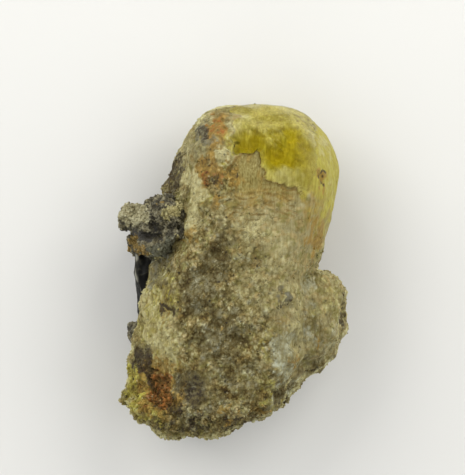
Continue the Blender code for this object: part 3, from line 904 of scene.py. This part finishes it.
# %% Crust finish
PIGMENTS = {  # linear colour of each mineral at full strength
    "base": (0.252, 0.222, 0.102),
    "olive": (0.170, 0.147, 0.042),
    "tan": (0.280, 0.216, 0.085),
    "cream": (0.365, 0.332, 0.160),
    "grey": (0.120, 0.102, 0.046),
    "frost": (0.270, 0.266, 0.165),
    "ash": (0.135, 0.128, 0.082),
    "dark": (0.020, 0.012, 0.007),
    "rust": (0.215, 0.076, 0.014),
    "ochre": (0.240, 0.150, 0.028),
    "yellow": (0.312, 0.275, 0.040),
    "cloud": (0.570, 0.512, 0.150),
    "milk": (0.660, 0.620, 0.340),
    "honey": (0.390, 0.335, 0.060),
    "gold": (0.715, 0.648, 0.102),
    "veil": (0.680, 0.620, 0.205),
    "window": (0.195, 0.160, 0.046),
    # painted rim light: the pale rim at the crust's outline
    "rim_light_paint": (0.500, 0.470, 0.240),
    # brown lines, partly painted shade: under the ledge and in the troughs of the growth arcs
    "line": (0.180, 0.105, 0.018),
    # painted shade in the gaps between grains and in pits
    "cavity": (0.080, 0.060, 0.015),
    # painted highlights: small bright glint dots
    "glint": (0.520, 0.480, 0.300),
    # painted shade: small dark dots for tiny pits
    "pinhole_shade": (0.018, 0.014, 0.006),
}
CRUST_LAYERS = ("window", "yellow", "cream", "grey", "frost", "ash", "ochre", "rust", "dark")


def cloudy_crystal(crust, masks, feather, ragged):
    """The cloudy and amber colours under the clear body."""
    wisp = crust.noise(2.0, 3.0, (0.8, 1.3, 1)) + 0.25 * (feather - 0.5)
    feathery = masks["veil"] * (0.5 + crust.step(feather, 0.38, 0.62))
    return crust.laid(
        PIGMENTS["cloud"],
        (PIGMENTS["honey"], crust.step(wisp, 0.5, 0.36) * 0.9),
        (PIGMENTS["veil"], crust.step(wisp, 0.5, 0.64) * 0.9 * (1 - masks["amber"]).clamped()),
        (PIGMENTS["gold"], crust.step(masks["amber"], 0.1, 0.75)),
        (PIGMENTS["veil"], feathery.clamped() * 0.8),
        (PIGMENTS["milk"], masks["milk"] * 0.8),
        (PIGMENTS["honey"], masks["yellow"] * 0.6),
        *((PIGMENTS[mineral], ragged[mineral] * 0.8) for mineral in ("ochre", "rust", "dark")),
    )


def crust_finish():
    crust = Finish("granular_crust", IOR=1.55, Specular_IOR_Level=0.16, Subsurface_Weight=0.12,
                   Subsurface_Radius=(1.0, 0.8, 0.4), Subsurface_Scale=0.0006)
    masks = crust.masks("smooth", "tone", "clear", "amber", "veil", "milk", "line", "edge", "cavity", "grit",
                        *CRUST_LAYERS)
    smooth, tone, dark = masks["smooth"], masks["tone"], masks["dark"]
    wide, mottle = crust.noise(2.6, 2.0), crust.noise(1.3, 2.0)
    blotch = crust.noise(0.6, 3.0, (1, 0.7, 1))
    speckle = crust.noise(0.2, 2.0, (1, 0.6, 1))
    streak = crust.noise(0.22, 3.0, (1, 0.12, 1))
    feather = crust.noise(0.6, 3.0, (1.2, 0.5, 1))
    fine, fine_tone = crust.grains(0.46, (1, 0.85, 1))
    big, big_tone = crust.grains(1.05, (1, 0.85, 1), 0.3)

    by_grain = (blotch - 0.5) * 0.6 + (fine_tone - 0.5) * 0.35 + (big_tone - 0.5) * 0.25
    by_speck = (speckle - 0.5) * 1.6 + (crust.noise(0.5, 2.0) - 0.5) * 2.0
    ragged = {}
    for mineral in CRUST_LAYERS:
        broken = by_speck if mineral in ("rust", "dark") else by_grain
        mask = masks[mineral]
        ragged[mineral] = crust.step(mask + broken * crust.step(mask, 0.0, 0.3), 0.1, 0.95) * 0.92

    rich = (1 - smooth).clamped()
    grainy = (rich * (1 - 0.8 * ragged["dark"])).clamped()
    bare = (1 - masks["clear"]).clamped()
    # Painted rim light: paler crust where the edge mask is high, away from the clear body.
    rim_light_paint = (masks["edge"] * 0.8 * (0.5 + mottle) - 0.8 * dark).clamped() * bare
    warm = masks["window"] * crust.step(crust.noise(0.9, 4.0, (1, 0.6, 1)), 0.5, 0.68)
    grain_gap_shade = crust.step(fine + 0.35 * big + 0.5 * (blotch - 0.5), 0.62, 1.0)
    below = crust.step(masks["clear"] + (blotch - 0.5) * 0.1, 0.24, 0.4)
    colour = crust.laid(
        PIGMENTS["base"],
        (PIGMENTS["olive"], crust.step(mottle, 0.45, 0.62)),
        (PIGMENTS["tan"], crust.step(crust.noise(1.0, 1.0), 0.48, 0.66) * 0.8),
        *((PIGMENTS[mineral], ragged[mineral]) for mineral in CRUST_LAYERS),
        (cloudy_crystal(crust, masks, feather, ragged), below),
        (PIGMENTS["line"], (masks["line"] * (0.5 + 0.9 * blotch)).clamped() * 0.85),
        (PIGMENTS["rim_light_paint"], rim_light_paint),
        (PIGMENTS["ochre"], warm * 0.6),
        (PIGMENTS["cream"], crust.step(tone + (speckle - 0.5), 0.72, 1.0) * 0.5 * grainy),
        # Painted shade in the gaps between grains.
        (PIGMENTS["cavity"], grain_gap_shade * 0.42 * grainy),
    )

    # Painted light and shade: each grain is painted lighter in its middle and darker at its edge, over tone
    # and noise.
    light = (0.45 - fine) * 0.6 + (0.45 - big) * 0.5 + (fine_tone - 0.5) * 0.3 + (big_tone - 0.5) * 0.25
    light = light + (tone - 0.5) * 0.25 + (speckle - 0.5) * 1.1 + (mottle - 0.5) * 1.3 + (wide - 0.5) * 1.2
    light = 1 + light * (0.2 + 0.8 * grainy) * (0.62 + 0.60 * masks["grit"])
    light = light + (streak - 0.5) * (0.6 + 0.6 * smooth) + (feather - 0.5) * masks["clear"] * 0.5
    light = light + (crust.noise(0.17, 2.0, (1, 0.45, 1)) - 0.5) * masks["window"] * 1.8
    colour = crust.laid(
        crust.lit(colour, light.at_least(0.15), 0.82, 1.6),
        # Painted shade in the cavities, from the mesh's mask.
        (PIGMENTS["cavity"], (masks["cavity"] * 0.6).clamped()),
        # Painted glints: a few small bright dots on the bare crust.
        (PIGMENTS["glint"], crust.dots(0.75, 0.13, 0.25) * bare * 0.4 * grainy),
        # Painted shade in pinholes: small dark dots on the bare crust.
        (PIGMENTS["pinhole_shade"], crust.dots(0.95, 0.17, 0.4) * bare * (0.15 + 0.7 * grainy)),
    )
    height = (crust.noise(0.2, 3.0) - 0.9 * fine - 1.1 * big) * (1 - 0.8 * smooth)
    normal = crust.bump(height + 0.5 * crust.noise(0.5, 2.0), 0.14, 0.8)
    rough = 0.68 - 0.12 * smooth - 0.16 * crust.step(tone, 0.8, 0.95)
    crust.set(crust.shader, {"Base_Color": colour, "Roughness": rough, "Normal": normal})
    return crust.material


crust_material = crust_finish()
print("crust finish:", len(crust_material.node_tree.nodes), "nodes")

# %% [markdown]
# ## The two crystals
# The main crystal's skin and the side crystal's are closed surfaces of their own. They cross where
# the crystals have grown together, and the crust has rounded the crease between them.

# %% The two crystals
side_skin, side_masks = crystal_skin(side_form(), *SIDE_GRID)
for crystal in (
    closed_skin("main_crystal", main_skin, main_masks),
    closed_skin("side_crystal", side_skin, side_masks),
):
    add_piece(crystal, crust_material, "remondite_crystal")

# %% [markdown]
# ## The clear cap
# Above the ledge the crystal is clear for up to a millimetre or two, and cloudy below. The crust's
# skin sinks there, so a closed clear body fills the hollow up to the crystal's own surface and dives
# under the crust everywhere else, as it does before the right flank. Its yellow is absorption: the
# deeper the hollow, the deeper the colour, and a veil that rises close to the surface stays pale.

# %% The clear cap
CAP_ROWS_TO_Y = 7.0
CLEAR_DIVE, CLEAR_FOOT_Z = 0.7, 1.4
ABSORBED, ABSORPTION = (0.85, 0.81, 0.24, 1), 1000


def clear_skin():
    """The clear body's points: the plain form's cap end, with its surface sunk where it isn't clear."""
    plain = prism_surface(main_form(), *MAIN_GRID)
    plain = plain[plain[:, 0, 1] > CAP_ROWS_TO_Y]
    at, normal = lumpy(plain)
    clear = clear_zone(at)
    uneven = 0.02 * waves(at, 0.8, 65) + 0.012 * waves(at * np.array([1, 0.3, 1]), 0.25, 66)
    at = at + normal * (0.6 * uneven - CLEAR_DIVE * (1 - ramp(clear, 0.0, 0.4)))[:, None]
    at[:, 2] = np.maximum(at[:, 2], CLEAR_FOOT_Z)
    return at.reshape(plain.shape)


def clear_finish():
    """Frosted clear crystal. Its absorption for each metre is the density times 1 less the colour."""
    clear = Finish("clear_yellow_crystal", IOR=1.5, Transmission_Weight=1.0, Roughness=0.26,
                   Base_Color=(1, 1, 1), Specular_Tint=(0.5, 0.42, 0.12))
    inside = clear.node("ShaderNodeVolumeAbsorption", inputs={"Color": ABSORBED, "Density": ABSORPTION})
    clear.set(clear.tree.nodes["Material Output"], {"Volume": inside})
    clear.set(clear.shader, {"Normal": clear.bump(clear.noise(0.3, 3.0, (1, 0.4, 1)), 0.03, 0.5)})
    return clear.material


add_piece(closed_skin("clear_cap", clear_skin(), {}), clear_finish(), "remondite_crystal")

# %% [markdown]
# ## Loose grains
# The crust's best-grown grains stand clear of it, and give the outline its fine teeth. Each is an
# icosahedron of 20 faces with uneven corners. Thousands of them are one mesh, and each takes the
# masks of the spot where it sits, so that it is the colour of the crust under it.

# %% Loose grains
GOLDEN = (1 + 5**0.5) / 2
ICO_POINTS = np.array([(0, 1, GOLDEN), (0, -1, GOLDEN), (0, 1, -GOLDEN), (0, -1, -GOLDEN), (1, GOLDEN, 0),
                       (-1, GOLDEN, 0), (1, -GOLDEN, 0), (-1, -GOLDEN, 0), (GOLDEN, 0, 1), (GOLDEN, 0, -1),
                       (-GOLDEN, 0, 1), (-GOLDEN, 0, -1)]) / np.hypot(1, GOLDEN)
LOWEST_GRAIN_Z = 0.01


def ico_faces():
    """The 20 triples of corners that are each other's neighbours, turned to face outwards."""
    apart = np.linalg.norm(ICO_POINTS[:, None] - ICO_POINTS[None], axis=2)
    touch = (apart > 0.1) & (apart < 1.2)
    faces = np.array([(a, b, c) for a in range(12) for b in range(a + 1, 12) for c in range(b + 1, 12)
                      if touch[a, b] and touch[b, c] and touch[a, c]])
    a, b, c = ICO_POINTS[faces].transpose(1, 0, 2)
    inward = (np.cross(b - a, c - a) * (a + b + c)).sum(axis=1) < 0
    faces[inward] = faces[inward][:, ::-1]
    return faces


def turned(rng, count):
    """Random turns as matrices (count, 3, 3), from the orthonormal part of random matrices."""
    basis, _ = np.linalg.qr(rng.normal(size=(count, 3, 3)))
    basis[np.linalg.det(basis) < 0] *= -1
    return basis


def grain_mesh(name, rng, centres, radii, masks):
    """One mesh of uneven icosahedra at these centres, each with its own masks."""
    count = len(centres)
    shape = ICO_POINTS[None] * rng.uniform(0.72, 1.18, (count, 12, 1)) * rng.uniform(0.8, 1.2, (count, 1, 3))
    points = centres[:, None] + np.einsum("nij,nkj->nki", turned(rng, count), shape) * radii[:, None, None]
    faces = (ico_faces()[None] + 12 * np.arange(count)[:, None, None]).reshape(-1, 3)
    points = points.reshape(-1, 3)
    points[:, 2] = np.maximum(points[:, 2], LOWEST_GRAIN_Z)
    mesh = make_mesh(name, points, [faces], smooth=False)
    set_masks(mesh, {key: np.repeat(values, 12) for key, values in masks.items()})
    print(f"{name}: {count} grains, {len(faces)} triangles")
    return mesh


def crust_grains(name, skin, masks, count, seed, low, high):
    """Loose grains on a skin: vertices drawn with odds of their own area, more where it is rough."""
    rng = np.random.default_rng(seed)
    at, y, z = skin.reshape(-1, 3), skin[..., 1].ravel(), skin[..., 2].ravel()
    across, along = np.roll(skin, -1, axis=1) - skin, np.gradient(skin, axis=0)
    area = np.linalg.norm(np.cross(across, along), axis=2).ravel()
    weight = (1 - 0.97 * masks["smooth"]) * (0.15 + 0.85 * (z > 3)) * (z > 0.5)
    odds = area * (weight * (1 - 0.6 * masks["cavity"]) * (0.3 + 0.7 * (y < -14)))
    chosen = rng.choice(len(odds), count, replace=False, p=odds / odds.sum())
    here = {mineral: values[chosen] for mineral, values in masks.items()}
    radii = rng.uniform(low, high, count) * (1 + 0.7 * (y[chosen] < -16))
    here["tone"] = 0.5 * here["tone"] + rng.uniform(0, 0.4, count)
    here["cavity"] = here["cavity"] * 0.5
    centres = at[chosen] + outward(skin).reshape(-1, 3)[chosen] * (radii * 0.1)[:, None]
    return grain_mesh(name, rng, centres, radii, here)


for grains in (
    crust_grains("main_grains", main_skin, main_masks, count=4800, seed=101, low=0.07, high=0.16),
    crust_grains("side_grains", side_skin, side_masks, count=600, seed=102, low=0.07, high=0.15),
):
    add_piece(grains, crust_material, "remondite_crystal")

# %% [markdown]
# ## The matrix
# The rock that the crystal grew on is granular and grey, with a pale crust and a rusty one on its
# upper side. Its blocks and knobs are superellipsoids, which go from a ball to a box as their power
# rises. A voxel remesh welds them into one skin, and the same cell noise then gives it grains, with
# loose ones on top. Below it is a black glassy break, whose smooth hollows meet in sharp folds.

# %% The matrix
ROCK_BODIES = [  # centre, radii in mm, turn about Z in degrees, power
    ((-8.9, 5.5, 9.2), (3.5, 2.9, 4.7), 24, 4.0),
    ((-10.6, 4.8, 5.4), (2.2, 3.0, 4.0), -12, 4.0),
    ((-8.4, 7.2, 11.4), (3.0, 2.2, 3.6), 0, 2.2),
    ((-12.3, 3.9, 7.2), (1.5, 1.4, 1.7), 0, 2.0),
    ((-12.4, 6.8, 9.0), (2.0, 1.7, 2.4), 0, 2.2),
]
SLAB_BODIES = [
    ((-10.4, -0.6, 4.2), (2.1, 5.2, 3.5), 3, 7.0),
    ((-10.4, -6.6, 4.2), (1.8, 2.2, 2.3), -6, 5.0),
]
BUMP_BODIES = [((-12.2, -7.9, 4.4), (1.3, 1.6, 1.7), 0, 2.2)]
BODY_ROWS, BODY_AROUND = 60, 90
VOXEL_MM, MATRIX_FOOT_Z = 0.15, 0.3
ROCK_PITS = [  # centre across and along, reach across and along, depth in mm
    ((-8.3, 6.2), (0.25, 0.25), 0.5), ((-6.35, 6.6), (0.32, 0.28), 0.8), ((-6.7, 5.5), (0.35, 0.28), 0.8),
    ((-6.85, 3.75), (0.45, 0.35), 1.1), ((-10.9, 4.5), (1.9, 0.38), 0.7), ((-9.6, 5.2), (0.3, 0.3), 0.3),
]
ROCK_MINERALS = {  # mineral: centre across and along, reach across and along
    "nub": [((-12.4, 7.1), (2.1, 1.6))],
    # The next patch is painted shadow, in the gap below the nub where the rock is also pitted.
    "gap_shadow": [((-10.8, 4.5), (2.2, 0.5)), ((-9.8, 5.7), (0.35, 0.5))],
    "green": [((-8.1, 3.0), (1.1, 1.4)), ((-9.6, 2.4), (1.2, 1.0))],
    "stain": [((-12.7, 3.6), (0.95, 0.8)), ((-11.5, 2.7), (0.9, 0.75)), ((-8.9, 8.3), (0.4, 0.3))],
    "cream": [((-7.3, 7.4), (1.5, 0.8)), ((-6.2, 8.6), (0.9, 0.8)), ((-9.4, 1.6), (0.3, 0.9)),
              ((-8.6, 6.9), (0.7, 0.4)), ((-6.0, 5.0), (0.4, 0.3)), ((-9.7, 2.3), (0.25, 0.5)),
              ((-7.2, 4.4), (0.3, 0.25))],
}
CRUST_FEET = {"nub": 6.2, "stain": 4.9, "cream": 7.0}  # height in mm at which each crust thins out
ROCK_PIGMENTS = {  # linear colour of each mineral at full strength, in the order that they are laid
    "green": (0.105, 0.105, 0.066),
    # The next colour is painted shadow, for the gap below the nub.
    "gap_shadow": (0.020, 0.019, 0.015),
    "cream": (0.33, 0.29, 0.125),
    "nub": (0.292, 0.268, 0.152),
    "stain": (0.235, 0.158, 0.042),
}


def superellipsoid(centre, radii, turn, power):
    """A closed body of directions scaled so that the sum of |direction / radius| ** power is 1."""
    polar = np.linspace(0, np.pi, BODY_ROWS + 2)[1:-1, None]
    angle = np.linspace(0, 2 * np.pi, BODY_AROUND, endpoint=False)[None, :]
    parts = np.sin(polar) * np.cos(angle), np.sin(polar) * np.sin(angle), np.cos(polar)
    way = np.stack(np.broadcast_arrays(*parts), axis=2)
    size = (np.abs(way / np.array(radii)) ** power).sum(axis=2, keepdims=True) ** (-1 / power)
    c, s = np.cos(np.radians(turn)), np.sin(np.radians(turn))
    return (way * size) @ np.array([[c, s, 0], [-s, c, 0], [0, 0, 1]]) + np.array(centre)


def welded(name, bodies):
    """The bodies' outer surface as one mesh: closed grids joined by a voxel remesh."""
    parts, faces, start = [], [], 0
    for body in bodies:
        rows = superellipsoid(*body)
        parts += [rows.reshape(-1, 3), np.array([rows[0].mean(axis=0), rows[-1].mean(axis=0)])]
        faces.append([corners + start for corners in closed_faces(*rows.shape[:2])])
        start += rows.shape[0] * rows.shape[1] + 2
    quads, fans = zip(*faces)
    mesh = make_mesh(name + "_bodies", np.vstack(parts), quads + fans)
    faces_outward(mesh)
    rough = bpy.data.objects.new(mesh.name, mesh)
    bpy.context.scene.collection.objects.link(rough)
    weld = rough.modifiers.new("weld", "REMESH")
    weld.mode, weld.voxel_size = "VOXEL", VOXEL_MM * MM
    done = bpy.data.meshes.new_from_object(rough.evaluated_get(bpy.context.evaluated_depsgraph_get()))
    done.name = name
    bpy.data.objects.remove(rough)
    return done


def mesh_arrays(mesh):
    """A mesh's points and normals in millimetres and unit vectors."""
    at, normal = np.empty(len(mesh.vertices) * 3), np.empty(len(mesh.vertices) * 3)
    mesh.vertices.foreach_get("co", at)
    mesh.vertex_normals.foreach_get("vector", normal)
    return at.reshape(-1, 3) / MM, normal.reshape(-1, 3)


def put_points(mesh, at_mm):
    """Moves a mesh's points here and shades it smooth."""
    mesh.vertices.foreach_set("co", (at_mm * MM).astype(np.float32).ravel())
    mesh.polygons.foreach_set("use_smooth", np.ones(len(mesh.polygons), bool))
    mesh.update()


def rock_masks(at):
    """0..1 for each rock mineral and the painted gap shadow: its strongest patch, with an edge that noise
    bends.

    The pale and rusty crusts lie on the rock's upper side and thin out down its flanks.
    """
    place = bent(at, 0.16, 0.5, 260)
    masks = {mineral: near_spots(place, spots, 0.75, 1.2) for mineral, spots in ROCK_MINERALS.items()}
    height = at[:, 2] + 0.7 * waves(at, 1.2, 262)
    for mineral, foot in CRUST_FEET.items():
        masks[mineral] *= ramp(height, foot, foot + 1.6)
    return masks


def rock_mesh(name, bodies, seed):
    """Rock: lumps, then grains with worn creases between them, and pits sunk from above."""
    mesh = welded(name, bodies)
    at, normal = mesh_arrays(mesh)
    masks = rock_masks(at)
    nub, gap_shadow = masks["nub"], masks["gap_shadow"]
    lumps = 0.26 * waves(at, 1.7, seed) + 0.16 * waves(at, 0.8, seed + 1) - 0.1
    at = at + normal * (lumps * (1 - 0.5 * gap_shadow - 0.5 * nub))[:, None]
    near, tone = cells(at, 0.36, seed + 2)
    nub_near, nub_tone = cells(at, 0.5, seed + 4)
    crease = (1 - ramp(np.abs(waves(at, 0.55, seed + 3)), 0.0, 0.4)) * (1 - 0.8 * gap_shadow) * (1 - nub)
    knobby = np.maximum(nub, 0.7 * masks["stain"])
    plain = (1 - knobby) * (1 - 0.8 * gap_shadow) * (1 - 0.4 * masks["green"])
    grains = 0.26 * (0.55 - near) * plain + 0.4 * (0.55 - nub_near) * knobby
    pits = [depth * hump(at[:, :2], centre, reach) for centre, reach, depth in ROCK_PITS]
    pits = np.maximum.reduce(pits) * np.clip(normal[:, 2], 0, 1)
    at = at + normal * (grains - 0.13 * crease - pits)[:, None]
    at[:, 2] = np.maximum(at[:, 2], MATRIX_FOOT_Z)
    put_points(mesh, at)
    # Painted shade between the grains, in the creases and in the pits.
    hollow = ramp(near, 0.5, 0.9) * 0.6 * (1 - knobby) + ramp(nub_near, 0.6, 0.95) * 0.8 * knobby
    masks["tone"] = np.where(nub > 0.5, nub_tone, tone)
    masks["cavity"] = np.clip(crease * 0.5 + hollow + 1.3 * pits, 0, 1)
    set_masks(mesh, masks)
    print(f"{name}: {len(mesh.vertices)} vertices")
    return mesh


def rock_finish():
    rock = Finish("matrix_rock", IOR=1.55, Specular_IOR_Level=0.2)
    masks = rock.masks("tone", "cavity", *ROCK_PIGMENTS)
    tone, speckle = masks["tone"], rock.noise(0.2, 2.0)
    fine, fine_tone = rock.grains(0.34, (1, 0.85, 1), 0.1)
    broken = (speckle - 0.5) * 0.8 + (fine_tone - 0.5) * 0.5
    colour = rock.mix((0.046, 0.041, 0.025), (0.180, 0.161, 0.094),
                      rock.step(rock.noise(1.0, 4.0) + 0.3 * broken, 0.40, 0.62))
    for mineral, pigment in ROCK_PIGMENTS.items():
        ragged = masks[mineral] + broken * rock.step(masks[mineral], 0.0, 0.3)
        colour = rock.mix(colour, pigment, rock.step(ragged, 0.25, 0.75) * 0.9)
    # Painted light and shade: each grain lighter in its middle and darker at its edge, over its tone and
    # noise.
    light = 1 + (tone - 0.5) * 0.6 + (0.45 - fine) * 0.8 + (fine_tone - 0.5) * 0.4 + (speckle - 0.5) * 0.8
    colour = rock.lit(colour, light.at_least(0.2), 0.9, 1.3)
    # Painted shade in the rock's cavities.
    colour = rock.mix(colour, (0.014, 0.011, 0.006), (masks["cavity"] * 0.8).clamped())
    rough = 0.66 - 0.2 * masks["gap_shadow"] - 0.2 * masks["green"] - 0.1 * rock.step(tone, 0.75, 0.95)
    normal = rock.bump(rock.noise(0.16, 3.0) - fine, 0.12, 0.8)
    rock.set(rock.shader, {"Base_Color": colour, "Roughness": rough, "Normal": normal})
    return rock.material


def slab_mesh(name, bodies, seed):
    """A glassy break: smooth hollows with sharp ridges between, where a stretched noise is near 0."""
    mesh = welded(name, bodies)
    at, normal = mesh_arrays(mesh)
    fold = np.abs(waves(at * np.array([1, 0.45, 0.8]), 1.5, seed))
    ribs = np.abs(waves(at * np.array([1, 0.6, 1]), 0.6, seed + 3))
    at = at + normal * (0.14 - 0.2 * fold - 0.05 * ribs + 0.06 * waves(at, 2.4, seed + 1))[:, None]
    at[:, 2] = np.maximum(at[:, 2], MATRIX_FOOT_Z)
    put_points(mesh, at)
    # Painted highlight: a pale rim on the faces turned left and up, broken by noise.
    rim_highlight = ramp(-normal[:, 0], 0.25, 0.6) * ramp(normal[:, 2], 0.15, 0.45)
    rim_highlight = rim_highlight * ramp(waves(at, 0.9, seed + 2), -1.2, 0.4)
    set_masks(mesh, {"edge": 1 - ramp(fold, 0.0, 0.16), "rim_highlight": rim_highlight})
    print(f"{name}: {len(mesh.vertices)} vertices")
    return mesh


def slab_finish():
    slab = Finish("dark_glassy_break", IOR=1.45, Specular_IOR_Level=0.12)
    masks = slab.masks("edge", "rim_highlight")
    smoke = slab.noise(0.9, 4.0)
    colour = slab.laid(
        (0.004, 0.004, 0.003),
        ((0.028, 0.026, 0.018), slab.step(smoke, 0.5, 0.75)),
        ((0.08, 0.074, 0.052), masks["edge"] * 0.25),
        # The painted highlight on the rim.
        ((0.34, 0.33, 0.26), masks["rim_highlight"] * 0.6),
    )
    rough = 0.42 + 0.3 * slab.step(smoke, 0.4, 0.7)
    normal = slab.bump(slab.noise(0.4, 3.0), 0.1, 0.7)
    slab.set(slab.shader, {"Base_Color": colour, "Roughness": rough, "Normal": normal})
    return slab.material


def rock_grains(name, mesh, count, seed):
    """Loose grains on the rock: vertices drawn at random, each with the masks of its own place."""
    rng = np.random.default_rng(seed)
    at, _ = mesh_arrays(mesh)
    above = at[:, 2] > 1
    chosen = rng.choice(len(at), count, replace=False, p=above / above.sum())
    masks = {}
    for mineral in ROCK_MINERALS:
        values = np.empty(len(at), np.float32)
        mesh.attributes[mineral].data.foreach_get("value", values)
        masks[mineral] = values[chosen]
    keep = rng.uniform(0, 1, count) > 0.9 * masks["gap_shadow"]
    masks = {mineral: values[keep] for mineral, values in masks.items()}
    masks["tone"] = rng.uniform(0.2, 1, keep.sum())
    masks["cavity"] = np.zeros(keep.sum())
    return grain_mesh(name, rng, at[chosen][keep], rng.uniform(0.09, 0.24, keep.sum()), masks)


rock_material = rock_finish()
rock = rock_mesh("matrix_rock", ROCK_BODIES, 200)
for rock_piece, its_material in (
    (rock, rock_material),
    (rock_grains("rock_grains", rock, count=2600, seed=250), rock_material),
    (slab_mesh("glassy_slab", SLAB_BODIES, 220), slab_finish()),
    (rock_mesh("end_bump", BUMP_BODIES, 240), rock_material),
):
    add_piece(rock_piece, its_material, "matrix_remnant")
